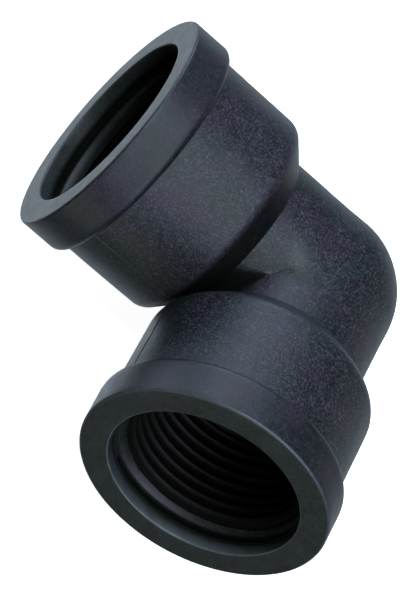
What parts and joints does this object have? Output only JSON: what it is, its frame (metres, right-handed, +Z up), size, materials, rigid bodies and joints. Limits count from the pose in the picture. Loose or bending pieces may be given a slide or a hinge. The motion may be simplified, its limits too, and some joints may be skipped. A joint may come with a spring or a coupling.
{
  "type": "pipe elbow",
  "caption": "90 degree moulded plastic pipe elbow with a threaded female socket and a thick reinforcing band at each end.",
  "frame": {"origin": "where the two port axes cross, in the middle of the bend", "axes": "+X out of the inlet along its axis, +Y out of the outlet along its axis, +Z up, square to both"},
  "size_m": [0.0685, 0.0685, 0.045],
  "materials": {
    "black_polypropylene": "satin, glass filled"
  },
  "bodies": {
    "root": {"elbow_bend": "black_polypropylene", "inlet_shoulder": "black_polypropylene", "inlet_pipe_stop": "black_polypropylene", "inlet_socket_wall": "black_polypropylene", "inlet_band": "black_polypropylene", "inlet_lead_in": "black_polypropylene", "inlet_thread": "black_polypropylene", "outlet_shoulder": "black_polypropylene", "outlet_pipe_stop": "black_polypropylene", "outlet_socket_wall": "black_polypropylene", "outlet_band": "black_polypropylene", "outlet_lead_in": "black_polypropylene", "outlet_thread": "black_polypropylene"}
  },
  "joints": []
}
